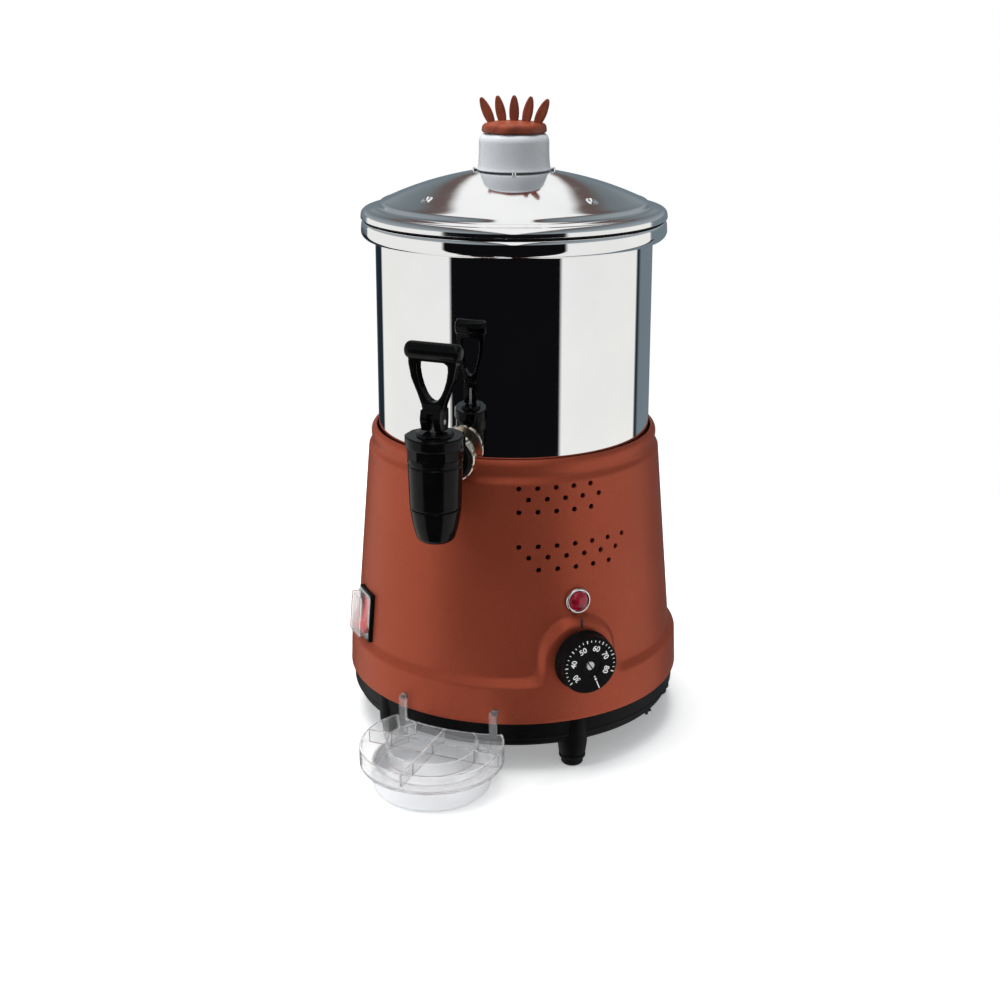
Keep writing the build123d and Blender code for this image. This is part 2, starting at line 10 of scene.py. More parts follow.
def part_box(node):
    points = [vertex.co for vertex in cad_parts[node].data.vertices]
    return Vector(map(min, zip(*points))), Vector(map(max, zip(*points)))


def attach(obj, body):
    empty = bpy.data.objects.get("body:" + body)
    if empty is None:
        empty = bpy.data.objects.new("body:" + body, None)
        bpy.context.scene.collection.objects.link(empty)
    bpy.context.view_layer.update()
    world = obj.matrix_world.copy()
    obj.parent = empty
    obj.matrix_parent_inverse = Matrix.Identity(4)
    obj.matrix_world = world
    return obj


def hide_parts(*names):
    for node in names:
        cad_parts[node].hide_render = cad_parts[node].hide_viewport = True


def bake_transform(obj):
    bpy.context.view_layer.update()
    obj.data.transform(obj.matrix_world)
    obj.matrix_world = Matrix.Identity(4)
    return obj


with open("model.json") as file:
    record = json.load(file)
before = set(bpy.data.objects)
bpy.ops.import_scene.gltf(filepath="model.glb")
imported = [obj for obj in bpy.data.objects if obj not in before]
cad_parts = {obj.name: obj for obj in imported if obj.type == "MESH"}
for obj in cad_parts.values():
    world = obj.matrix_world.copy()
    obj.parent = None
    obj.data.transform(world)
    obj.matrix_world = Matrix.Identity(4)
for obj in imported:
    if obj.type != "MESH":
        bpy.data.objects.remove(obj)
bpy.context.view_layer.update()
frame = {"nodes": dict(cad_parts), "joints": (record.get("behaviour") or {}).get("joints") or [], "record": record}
NODES = frame["nodes"]
RECORD = frame["record"]
MM = 0.001

# ---------------------------------------------------------------- places, in millimetres
def middle(node):
    low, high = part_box(node)
    return (low + high) / (2 * MM)


def top_of(node):
    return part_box(node)[1].z / MM


JOINTS = {j["name"]: j for j in frame["joints"]}
AXIS_Y = middle("water_jacket").y
TAP_Y = middle("tap_nozzle").y
TRAY_Y = middle("drip_cup").y
KNOB_Z = JOINTS["knob_turn"]["pos_m"][2] / MM
SIDE_ANGLE = 45.0
SWITCH_X, SWITCH_Y, SWITCH_Z = (v / MM for v in JOINTS["rocker_tilt"]["pos_m"])
SWITCH_ANGLE = degrees(atan2(SWITCH_X, AXIS_Y - SWITCH_Y))
TANK_R = (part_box("water_jacket")[1].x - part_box("water_jacket")[0].x) / (2 * MM)
COLLAR_Z = top_of("housing_shell")
HOUSING_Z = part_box("housing_shell")[0].z / MM
RIM_R = (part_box("product_vessel")[1].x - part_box("product_vessel")[0].x) / (2 * MM)
SHANK_Z = middle("tap_spigot").z
LAMP_Z = 142.0
CONE_TAPER = 0.08
CONE_RISE = degrees(asin(CONE_TAPER))
SWITCH_PIVOT_DEPTH = 1.9
SEAT_Z = SWITCH_Z + SWITCH_PIVOT_DEPTH * CONE_TAPER
AXIS = Matrix.Translation((0, AXIS_Y, 0))
TAP = Matrix.Translation((0, TAP_Y, 0))
TRAY = Matrix.Translation((0, TRAY_Y, 0))
# Turns a prism so that its outline's x and y lie along y and z, and its length along x.
SIDE_VIEW = Matrix(((0, 0, 1, 0), (1, 0, 0, 0), (0, 1, 0, 0), (0, 0, 0, 1)))


def outward(radius, angle, z, rise=0.0):
    """Frame with its local z out of the tank axis at an angle from the tap, x round it, y up."""
    a, e = radians(angle), radians(rise)
    x_dir = Vector((cos(a), sin(a), 0))
    z_dir = Vector((sin(a) * cos(e), -cos(a) * cos(e), sin(e)))
    y_dir = z_dir.cross(x_dir)
    m = Matrix((x_dir, y_dir, z_dir)).transposed().to_4x4()
    m.translation = Vector((radius * sin(a), AXIS_Y - radius * cos(a), z))
    return m


# ---------------------------------------------------------------- mesh helpers
def mesh_from(name, verts, faces, place=None):
    bm = bmesh.new()
    place = place or Matrix.Identity(4)
    made = [bm.verts.new(place @ Vector(v) * MM) for v in verts]
    for f in faces:
        ring = [made[i] for i in f]
        if len(set(ring)) > 2:
            bm.faces.new(ring)
    bmesh.ops.recalc_face_normals(bm, faces=bm.faces)
    me = bpy.data.meshes.new(name)
    bm.to_mesh(me)
    bm.free()
    obj = bpy.data.objects.new(name, me)
    bpy.context.scene.collection.objects.link(obj)
    return obj


def soft(points, steps=5, closed=True):
    """Points (x, y) or (x, y, reach): a corner with a reach is rounded, starting that far before it."""
    out = []
    count = len(points)
    for i, p in enumerate(points):
        reach = p[2] if len(p) > 2 else 0
        if not reach or (not closed and i in (0, count - 1)):
            out.append((p[0], p[1]))
            continue
        here = Vector(p[:2])
        before, after = Vector(points[i - 1][:2]), Vector(points[(i + 1) % count][:2])
        a = here + (before - here).normalized() * min(reach, 0.48 * (before - here).length)
        b = here + (after - here).normalized() * min(reach, 0.48 * (after - here).length)
        for k in range(steps + 1):
            t = k / steps
            q = a * (1 - t) ** 2 + here * 2 * t * (1 - t) + b * t * t
            out.append((q.x, q.y))
    return out


def lathe(name, profile, place=None, segments=128):
    """Closed solid of revolution about the local z axis from a closed (radius, z) outline."""
    place = place or AXIS
    rings, verts = [], []
    for r, z in profile:
        if r < 1e-6:
            rings.append([len(verts)] * segments)
            verts.append((0, 0, z))
        else:
            rings.append(list(range(len(verts), len(verts) + segments)))
            for k in range(segments):
                a = 2 * pi * k / segments
                verts.append((r * cos(a), r * sin(a), z))
    faces = []
    for i in range(len(rings)):
        one, two = rings[i], rings[(i + 1) % len(rings)]
        if one[0] == one[1] and two[0] == two[1]:
            continue
        for k in range(segments):
            n = (k + 1) % segments
            quad = [one[k], one[n], two[n], two[k]]
            faces.append(list(dict.fromkeys(quad)))
    return mesh_from(name, verts, faces, place)


def prism(name, outline, low, high, place=None):
    """Closed prism on an (x, y) outline between two heights of the local z axis."""
    place = place or AXIS
    n = len(outline)
    verts = [(x, y, low) for x, y in outline] + [(x, y, high) for x, y in outline]
    faces = [list(range(n))[::-1], list(range(n, 2 * n))]
    faces += [[i, (i + 1) % n, n + (i + 1) % n, n + i] for i in range(n)]
    return mesh_from(name, verts, faces, place)


def box_outline(width, height, reach=0.0, x=0.0, y=0.0, steps=5):
    w, h = width / 2, height / 2
    corners = [(x - w, y - h), (x + w, y - h), (x + w, y + h), (x - w, y + h)]
    return soft([(*c, reach) for c in corners], steps) if reach else corners


def slab(name, width, height, low, high, reach=0.0, place=None, x=0.0, y=0.0):
    return prism(name, box_outline(width, height, reach, x, y), low, high, place)


def rod(name, radius, low, high, place=None, x=0.0, y=0.0, segments=48):
    here = (place or AXIS) @ Matrix.Translation((x, y, 0))
    return lathe(name, [(0, low), (radius, low), (radius, high), (0, high)], here, segments)


def bake(obj):
    graph = bpy.context.evaluated_depsgraph_get()
    made = bpy.data.meshes.new_from_object(obj.evaluated_get(graph))
    obj.modifiers.clear()
    obj.data = made
    return obj


def remove(obj):
    bpy.data.objects.remove(obj)


def join(name, objs):
    """One object out of separate closed meshes that don't overlap."""
    bm = bmesh.new()
    for o in objs:
        bm.from_mesh(o.data)
    me = bpy.data.meshes.new(name)
    bm.to_mesh(me)
    bm.free()
    for o in objs:
        remove(o)
    obj = bpy.data.objects.new(name, me)
    bpy.context.scene.collection.objects.link(obj)
    return obj


def combine(obj, other, operation):
    mod = obj.modifiers.new("boolean", "BOOLEAN")
    mod.operation = operation
    mod.solver = "MANIFOLD"
    mod.object = other
    bake(obj)
    remove(other)
    return obj


def cut(obj, others):
    return combine(obj, join("cutters", others), "DIFFERENCE")


def add(obj, *others):
    for o in others:
        combine(obj, o, "UNION")
    return obj


def keep(obj, other):
    return combine(obj, other, "INTERSECT")


def rings_to_faces(rings, around):
    """Quads between rings of vertices that are numbered one after the other."""
    faces = []
    for i in range(rings - 1):
        for k in range(around):
            n = (k + 1) % around
            faces.append([i * around + k, i * around + n, (i + 1) * around + n, (i + 1) * around + k])
    return faces


def end_caps(rings, around):
    return [list(range(around)), list(range((rings - 1) * around, rings * around))]


def weld(me, dist):
    bm = bmesh.new()
    bm.from_mesh(me)
    bmesh.ops.remove_doubles(bm, verts=bm.verts, dist=dist)
    bmesh.ops.recalc_face_normals(bm, faces=bm.faces)
    bm.to_mesh(me)
    bm.free()


def on_circle(radius, angle):
    """x and y at an angle, in radians, counted from local x."""
    return radius * cos(angle), radius * sin(angle)


def from_tap(radius, angle):
    """x and y at an angle, in degrees, counted from the tap's side of the tank."""
    return radius * sin(radians(angle)), -radius * cos(radians(angle))


def bevel(obj, width, segments=2, angle=35):
    mod = obj.modifiers.new("edge", "BEVEL")
    mod.width = width * MM
    mod.segments = segments
    mod.limit_method = "ANGLE"
    mod.angle_limit = radians(angle)
    mod.use_clamp_overlap = True
    return bake(obj)


def smooth(obj, angle=35):
    me = obj.data
    me.polygons.foreach_set("use_smooth", [True] * len(me.polygons))
    me.set_sharp_from_angle(angle=radians(angle))
    mod = obj.modifiers.new("normals", "WEIGHTED_NORMAL")
    mod.keep_sharp = True
    return bake(obj)


def rounded_blob(obj, voxel, rounds):
    """Melts a union of simple solids into one moulding with soft inside corners."""
    mod = obj.modifiers.new("skin", "REMESH")
    mod.mode = "VOXEL"
    mod.voxel_size = voxel * MM
    soften = obj.modifiers.new("soften", "SMOOTH")
    soften.factor = 0.5
    soften.iterations = rounds
    return bake(obj)


# ---------------------------------------------------------------- materials
MATS = {}


def finish(name, dark, light, metal, rough, grain, bump, cloud, flake=0, **sockets):
    """Surface with drifting colour, uneven gloss and fine relief.

    grain is the relief's scale, the same along x, y and z or one for each; cloud is the scale of the
    drift between the dark and the light colour; flake adds metallic flakes at that scale.
    """
    mat = bpy.data.materials.new(name)
    mat.use_nodes = True
    tree = mat.node_tree
    link = tree.links.new
    bsdf = tree.nodes["Principled BSDF"]

    def node(kind, **values):
        n = tree.nodes.new(kind)
        for key, value in values.items():
            if hasattr(n, key):
                setattr(n, key, value)
            else:
                n.inputs[key.replace("_", " ")].default_value = value
        return n

    where = node("ShaderNodeTexCoord").outputs["Object"]
    broad = node("ShaderNodeTexNoise", Scale=cloud, Detail=4.0, Roughness=0.6)
    link(where, broad.inputs["Vector"])
    tint = node("ShaderNodeValToRGB")
    tint.color_ramp.elements[0].position = 0.34
    tint.color_ramp.elements[1].position = 0.68
    tint.color_ramp.elements[0].color = (*dark, 1)
    tint.color_ramp.elements[1].color = (*light, 1)
    link(broad.outputs["Fac"], tint.inputs["Fac"])
    colour = tint.outputs["Color"]
    stretched = node("ShaderNodeMapping")
    stretched.inputs["Scale"].default_value = (grain,) * 3 if isinstance(grain, int) else grain
    link(where, stretched.inputs["Vector"])
    fine = node("ShaderNodeTexNoise", Scale=1.0, Detail=3.0)
    link(stretched.outputs["Vector"], fine.inputs["Vector"])
    if flake:
        cells = node("ShaderNodeTexVoronoi", Scale=flake)
        link(where, cells.inputs["Vector"])
        spark = node("ShaderNodeMapRange")
        link(cells.outputs["Color"], spark.inputs["Value"])
        spark.inputs["To Min"].default_value = 0.84
        spark.inputs["To Max"].default_value = 1.2
        lit = node("ShaderNodeVectorMath", operation="MULTIPLY")
        link(colour, lit.inputs[0])
        link(spark.outputs["Result"], lit.inputs[1])
        colour = lit.outputs["Vector"]
    link(colour, bsdf.inputs["Base Color"])
    gloss = node("ShaderNodeMapRange")
    gloss.inputs["From Min"].default_value = 0.3
    gloss.inputs["From Max"].default_value = 0.7
    gloss.inputs["To Min"].default_value = rough[0]
    gloss.inputs["To Max"].default_value = rough[1]
    link(fine.outputs["Fac"], gloss.inputs["Value"])
    link(gloss.outputs["Result"], bsdf.inputs["Roughness"])
    relief = node("ShaderNodeBump")
    relief.inputs["Strength"].default_value = bump
    relief.inputs["Distance"].default_value = 0.0002
    link(fine.outputs["Fac"], relief.inputs["Height"])
    link(relief.outputs["Normal"], bsdf.inputs["Normal"])
    bsdf.inputs["Metallic"].default_value = metal
    for key, value in sockets.items():
        bsdf.inputs[key.replace("_", " ")].default_value = value
    MATS[name] = mat
    return mat


finish("copper_paint", (0.325, 0.062, 0.031), (0.360, 0.072, 0.037), 0.50, (0.37, 0.43), 700, 0.05, 9, 2400,
       Specular_Tint=(0.8, 0.55, 0.45, 1), Specular_IOR_Level=0.35)
finish("black_plastic", (0.0030, 0.0030, 0.0034), (0.0055, 0.0055, 0.006), 0.0, (0.34, 0.48), 1500, 0.14,
       40, Specular_IOR_Level=0.06)
finish("tap_plastic", (0.0016, 0.0016, 0.0016), (0.0032, 0.0032, 0.0034), 0.0, (0.12, 0.20), 420, 0.03, 60,
       Specular_IOR_Level=0.13)
finish("rubber", (0.0035, 0.0035, 0.0035), (0.007, 0.007, 0.007), 0.0, (0.62, 0.80), 1200, 0.3, 60,
       Specular_IOR_Level=0.15)
finish("mirror_steel", (0.86, 0.865, 0.87), (0.93, 0.93, 0.93), 1.0, (0.015, 0.05), (30, 30, 900), 0.006,
       10)
finish("lid_steel", (0.86, 0.865, 0.87), (0.93, 0.93, 0.93), 1.0, (0.07, 0.12), (60, 60, 400), 0.01, 10)
finish("brushed_steel", (0.50, 0.50, 0.51), (0.64, 0.64, 0.64), 1.0, (0.22, 0.42), (90, 90, 2600), 0.12, 30)
finish("nickel", (0.80, 0.68, 0.54), (0.92, 0.84, 0.74), 1.0, (0.16, 0.26), 300, 0.06, 80)
finish("brass", (0.55, 0.36, 0.12), (0.72, 0.50, 0.20), 1.0, (0.2, 0.36), (200, 200, 1500), 0.1, 50)
finish("aluminium", (0.52, 0.52, 0.54), (0.66, 0.66, 0.68), 1.0, (0.38, 0.55), 900, 0.25, 30)
finish("copper_tube", (0.55, 0.24, 0.12), (0.72, 0.34, 0.19), 1.0, (0.2, 0.34), 400, 0.08, 60)
finish("clear_plastic", (0.97, 0.975, 0.98), (0.995, 0.995, 0.995), 0.0, (0.0, 0.03), 160, 0.015, 30,
       Transmission_Weight=0.88, IOR=1.33, Alpha=0.86)
finish("cover_plastic", (0.86, 0.87, 0.86), (0.93, 0.93, 0.92), 0.0, (0.02, 0.06), 160, 0.01, 30,
       Transmission_Weight=0.92, IOR=1.25, Alpha=0.62)
finish("frosted_plastic", (0.56, 0.58, 0.61), (0.64, 0.65, 0.67), 0.0, (0.26, 0.32), 260, 0.0, 6,
       Specular_IOR_Level=0.35)
finish("cup_plastic", (0.80, 0.805, 0.82), (0.86, 0.865, 0.88), 0.0, (0.30, 0.36), 260, 0.0, 6,
       Specular_IOR_Level=0.3)
finish("white_plastic", (0.78, 0.78, 0.75), (0.86, 0.86, 0.84), 0.0, (0.34, 0.5), 800, 0.12, 30)
finish("red_lens", (0.16, 0.0015, 0.010), (0.34, 0.004, 0.022), 0.0, (0.14, 0.20), 200, 0.0, 160,
       Coat_Weight=0.2, Coat_Roughness=0.12)
finish("rocker_red", (0.50, 0.004, 0.010), (0.68, 0.010, 0.022), 0.0, (0.14, 0.24), 300, 0.05, 60,
       Coat_Weight=0.4, Coat_Roughness=0.1)
finish("brown_plastic", (0.150, 0.030, 0.014), (0.245, 0.052, 0.024), 0.0, (0.42, 0.56), 900, 0.2, 70,
       Specular_IOR_Level=0.35)
finish("silicone", (0.74, 0.73, 0.68), (0.84, 0.83, 0.79), 0.0, (0.45, 0.6), 700, 0.1, 40)
finish("dial_print", (0.74, 0.74, 0.72), (0.86, 0.86, 0.84), 0.0, (0.45, 0.6), 2500, 0.1, 300)
finish("index_ink", (0.006, 0.006, 0.006), (0.012, 0.012, 0.012), 0.0, (0.4, 0.55), 2500, 0.1, 300)
SLOTS = {s["node"]: s["material_slot"] for s in RECORD["subparts"]}
for node_name, obj in NODES.items():
    for slot in obj.material_slots:
        slot.material = MATS[SLOTS[node_name]]


def piece(obj, material, body, nodes=(), angle=35):
    obj.data.materials.clear()
    obj.data.materials.append(MATS[material])
    smooth(obj, angle)
    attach(obj, body)
    if nodes:
        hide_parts(*nodes)
    return obj


# ---------------------------------------------------------------- housing
WALL = 2.5
SKIRT_TOP = 80.0
BAY_R = 34.0
STEP_START, STEP_RUN = 2.4, 8.4
VENT_STEP, HOLE_RISE = 6.9, 4.6
POST_X = 40


def cone_r(z):
    return 136.5 - (z - SKIRT_TOP) * CONE_TAPER


def skirt_r(z):
    return 143.0 - (z - HOUSING_Z) / 30


def blend_min(a, b, k):
    """The smaller of two distances, rounded where they are less than k apart."""
    h = max(k - abs(a - b), 0) / k
    return min(a, b) - h * h * k / 4


def smooth_step(x):
    x = min(max(x, 0), 1)
    return x * x * (3 - 2 * x)


def skin_r(theta, z):
    """Outside of the housing at an angle from the tap: cone, raised skirt, and the bay round the knob."""
    run = 137 * radians(theta - SIDE_ANGLE)
    rise = z - KNOB_Z
    bay = (hypot(run, rise) if rise > 0 else abs(run)) - BAY_R
    edge = blend_min(z - SKIRT_TOP, bay, 12)
    share = smooth_step((STEP_START - edge) / STEP_RUN)
    return cone_r(z) + (skirt_r(z) - cone_r(z)) * share


def make_housing():
    # The rows and columns are closer together round the knob's bay and at the skirt's step.
    thetas = [*np.arange(-180, 24, 0.9), *np.arange(24, 66, 0.36), *np.arange(66, 180, 0.9)]
    rows = [*np.arange(HOUSING_Z + 0.8, 72.4, 2.4), *np.arange(72.4, 83, 0.6), *np.arange(83, 118, 1.5),
            *np.arange(118, 137, 0.7), *np.arange(137, 236.5, 2.6)]
    loops = [[(skin_r(t, z), z) for t in thetas] for z in rows]
    shoulder = soft([(cone_r(237), 237), (cone_r(239.6), 239.8, 2.0), (121.2, 243.4, 1.6),
                     (120.5, 246.2, 1.4), (121.3, 250, 2.2), (121.2, 254.4, 2.4), (119.4, 257.4, 1.6),
                     (117.6, COLLAR_Z, 0.7), (116.7, 257.2)], 4, closed=False)
    loops += [[(r, z)] * len(thetas) for r, z in shoulder]
    loops += [[(116.7, z)] * len(thetas) for z in (244, 238.4)]
    inner = [234, 200, 160, 132, 126, 118, 100, 84, 80, 76, 60, HOUSING_Z + 0.01]
    loops += [[(skin_r(t, z) - WALL, z) for t in thetas] for z in inner]
    loops += [[(skin_r(t, HOUSING_Z) - WALL + 0.6, HOUSING_Z) for t in thetas]]
    loops += [[(skin_r(t, HOUSING_Z) - 0.5, HOUSING_Z) for t in thetas]]
    n = len(thetas)
    verts = [(*from_tap(r, t), z) for loop in loops for t, (r, z) in zip(thetas, loop)]
    faces = []
    for i in range(len(loops)):
        j = (i + 1) % len(loops)
        faces += [[i * n + k, i * n + (k + 1) % n, j * n + (k + 1) % n, j * n + k] for k in range(n)]
    shell = mesh_from("housing_cover", verts, faces, AXIS)
    tools = []
    # Vents: height, angle of the first one and how many, then one profile for all of them.
    vent_rows = [(236, 24.0, 5), (227, 27.5, 5), (217, 24.0, 5),
                 (189, 24.0, 7), (180, 27.5, 6), (170, 31.0, 5)]
    vent = [(0, -6), (1.95, -6), (1.95, -0.4), (2.3, 0.1), (2.4, 3), (0, 3)]
    for z, first, count in vent_rows:
        for i in range(count):
            tools.append(lathe("vent", vent, outward(cone_r(z), first + VENT_STEP * i, z, HOLE_RISE), 24))
    tools.append(rod("hole", 8, -12, 12, outward(cone_r(LAMP_Z), SIDE_ANGLE, LAMP_Z, HOLE_RISE)))
    tools.append(rod("hole", 5.2, -20, 20, outward(138, SIDE_ANGLE, KNOB_Z)))
    seat = outward(cone_r(SEAT_Z), SWITCH_ANGLE, SEAT_Z, CONE_RISE)
    tools.append(slab("hole", 31.4, 42.4, -20, 20, 1.5, seat))
    tools.append(rod("hole", 8.1, -20, 20, outward(138, 180, middle("cord_gland").z)))
    tools.append(rod("hole", 11, -20, 20, outward(121, 0, SHANK_Z)))
    for side in (-1, 1):
        slot = soft([(-2.8, 52.1, 0.6), (2.8, 52.1, 0.6), (2.8, 56.9, 2.2), (-2.8, 56.9, 2.2)])
        place = Matrix.Translation((side * POST_X, AXIS_Y - 120, 0)) @ Matrix.Rotation(pi / 2, 4, "X")
        tools.append(prism("hole", slot, 5, 32, place))
    cut(shell, tools)
    piece(shell, "copper_paint", "base", ["housing_shell"], 42)
    over_knob = outward(skirt_r(125) - 0.1, SIDE_ANGLE, KNOB_Z + 29.6, 1.9)
    mark = slab("knob_index_mark", 1.9, 7.2, 0, 0.25, 0.5, over_knob)
    piece(mark, "index_ink", "base")


# ---------------------------------------------------------------- base ring and feet
FOOT_ANGLES = [-28 + 72 * i for i in range(5)]
FOOT_CIRCLE = 130.0


def make_base():
    outline = soft([(0, 22), (136.0, 22, 1.2), (137.4, 24.5, 0.8), (138.1, 28.2, 0.4), (139.9, 28.9, 0.6),
                    (140.3, 31.0, 0.4), (140.0, 32.0, 0.3), (141.5, 43.95, 0.4), (138.2, 43.95), (138.2, 50),
                    (137.0, 50), (135.2, 25.5, 2), (0, 25)], 3)
    pan = lathe("base_ring", outline, AXIS, 256)
    places = [AXIS @ Matrix.Translation((*from_tap(FOOT_CIRCLE, a), 0)) for a in FOOT_ANGLES]
    column = soft([(0, 9), (9.6, 9), (10.8, 9.6, 0.5), (12.3, 20, 4), (12.5, 43.5, 0.5), (0, 43.5)], 4)
    for place in places:
        add(pan, lathe("boss", column, place, 48))
    tools = [slab("slot", 5, 8, 0, 45, 2, outward(45, a + 22, 24)) for a in range(0, 360, 45)]
    cut(pan, tools)
    piece(pan, "black_plastic", "base", ["base_pan"], 32)
    foot = soft([(0, 0), (7.6, 0, 0.5), (9, 1.4, 0.7), (9, 5.8, 0.4), (10.9, 6.4, 0.6), (10.9, 8.95, 0.4),
                 (0, 8.95)], 4)
    feet = [lathe("foot", foot, place, 48) for place in places]
    piece(join("foot_pads", feet), "rubber", "base", ["rubber_feet"])


# ---------------------------------------------------------------- tank and lid
def make_tank():
    low, high = 215, 430
    outline = soft([(0, low), (TANK_R, low, 1), (TANK_R, high), (TANK_R - 1, high), (TANK_R - 1, low + 1.5),
                    (0, low + 1.5)])
    jacket = lathe("tank_jacket", outline, AXIS, 384)
    cut(jacket, [rod("hole", 9.1, -15, 15, outward(TANK_R, 0, SHANK_Z))])
    piece(jacket, "mirror_steel", "base", ["water_jacket"], 50)
    rim = soft([(12.05, 250), (99, 250, 1.5), (101, 252.4), (101, 429.4, 0.8), (123.6, 429.6, 1.2),
                (125.0, 428.2, 0.6), (125.2, 420.6, 1.6), (123.4, 418.7, 0.4), (120.5, 418.6),
                (120.5, 417.3, 0.3), (123.6, 417.3, 2.4), (RIM_R - 0.1, 421, 2.8), (126.2, 429.8, 2.0),
                (124.6, 431.9, 1.2), (101.6, 431.9, 1), (99.8, 430.2, 1), (99.8, 252.4, 1.2), (98.2, 251.2),
                (12.05, 251.2)], 6)
    vessel = lathe("vessel_and_rim", rim, AXIS, 320)
    cut(vessel, [rod("hole", 9.1, -15, 15, outward(100.4, 0, SHANK_Z))])
    piece(vessel, "mirror_steel", "base", ["product_vessel"], 40)


def make_lid():
    dome = [(25, 471.7, 0.8), (34, 470.3, 3), (52, 466.7, 12), (74, 460.8, 16), (95, 453.2, 12),
            (107.5, 447.6, 3)]
    steps = [(110.6, 446.6, 1.2), (112.6, 442.9, 1.0), (116.2, 442.4, 1.0), (119.2, 441.2, 0.8),
             (121.0, 440.9, 0.8), (124.0, 440.6, 1.6), (126.5, 438.2, 1.8), (126.8, 433.7, 0.3)]
    under = [(125.8, 433.7), (125.7, 436.6, 0.4), (124, 438.1, 0.8), (121, 439.6, 0.8), (112, 441.4, 0.8),
             (109.8, 444.9, 1), (94.5, 451.6, 10), (73.6, 459.2, 12), (51.6, 465.1, 10), (25, 470.2)]
    cover = lathe("lid_cover", soft(dome + steps + under, 6), AXIS, 320)
    piece(cover, "lid_steel", "lid", ["lid_dome"], 48)
    seal = soft([(119, 432.1), (125.2, 432.1, 0.8), (125.5, 434.9, 0.6), (119, 435.6)], 4)
    piece(lathe("lid_seal", seal, AXIS, 192), "rubber", "lid", ["lid_gasket"])
    tower = soft([(24, 468.6), (25.9, 468.6), (25.9, 471.8), (30.4, 471.8, 0.3), (30.4, 472.6, 0.4),
                  (29.8, 474.2, 1.2), (29.3, 478, 3), (29.0, 484, 4), (28.8, 496.8, 2.4), (26.8, 500.6, 2.2),
                  (22, 502), (0, 502), (0, 500), (22.4, 500, 1), (25.2, 498.4, 1), (26.5, 494, 2),
                  (26.8, 483, 4), (27.4, 476, 2), (24, 473)], 5)
    piece(lathe("lid_tower_shell", tower, AXIS, 128), "frosted_plastic", "lid", ["lid_tower"])
    make_crown()
    make_dimples()


def make_dimples():
    """Four vents on the dome and four studs round the tower's foot."""
    vent = soft([(0, -0.6), (5.3, -0.6), (5.3, -0.2, 0.4), (4.2, 0.35, 0.5), (3.5, 0.35, 0.4),
                 (2.9, 1.3, 0.8), (1.6, 1.8, 0.8), (0, 1.9)], 5)
    stud = soft([(0, 469.9), (1.7, 469.9), (1.7, 473.0, 0.7), (0, 473.6)], 4)
    parts = []
    for i in range(4):
        parts.append(lathe("vent", vent, outward(92, 63.5 + 90 * i, 454.4, 68.5), 40))
        foot = AXIS @ Matrix.Translation((*from_tap(32.3, 22 + 90 * i), 0))
        parts.append(lathe("stud", stud, foot, 20))
    piece(join("lid_fixings", parts), "mirror_steel", "lid", ["lid_rivets"], 40)


def make_crown():
    """Scalloped disc with five standing petals."""
    around, verts = 120, []
    profile = soft([(26.2, 502.1, 0.3), (27.0, 503.2, 0.8), (26.6, 507.2, 2), (24.6, 509.4, 2), (14, 511, 6),
                    (0, 511.5)], 5, closed=False)
    rings = [(0, 502.1), *profile]
    for r, z in rings:
        for k in range(around):
            a = 2 * pi * k / around
            wave = 0.45 * sin(8 * a) * min(r / 27, 1) ** 4
            lift = 0.5 * sin(5 * a + 0.6) * min(r / 27, 1) ** 3 if z > 504 else 0
            verts.append((*on_circle(r + (wave - 0.4) * min(r / 5, 1), a), z + lift))
    crown = mesh_from("lid_crown_flower", verts, rings_to_faces(len(rings), around), AXIS)
    weld(crown.data, 1e-6)
    add(crown, *[make_petal(i) for i in range(5)])
    piece(crown, "brown_plastic", "lid", ["lid_crown"], 40)


def make_petal(i):
    """Leaf-shaped petal, thicker at its rim than along its middle."""
    rings, around, verts = 23, 20, []
    for k in range(rings):
        t = k / (rings - 1)
        half = 4.3 * sin(pi * (0.10 + 0.88 * t) ** 0.9) ** 0.55 + 0.1
        for m in range(around):
            a = 2 * pi * m / around
            dip = 0.55 + 0.45 * abs(cos(a)) ** 1.5
            verts.append((half * cos(a), 1.75 * sin(a) * dip * min(1, half / 1.6), 0.6 + 23.0 * t))
    lean = Matrix.Rotation(radians(13 * (i - 2)), 4, "Y")
    place = AXIS @ Matrix.Translation((9.6 * (i - 2), 0, 507.9)) @ lean
    return mesh_from("petal", verts, rings_to_faces(rings, around) + end_caps(rings, around), place)


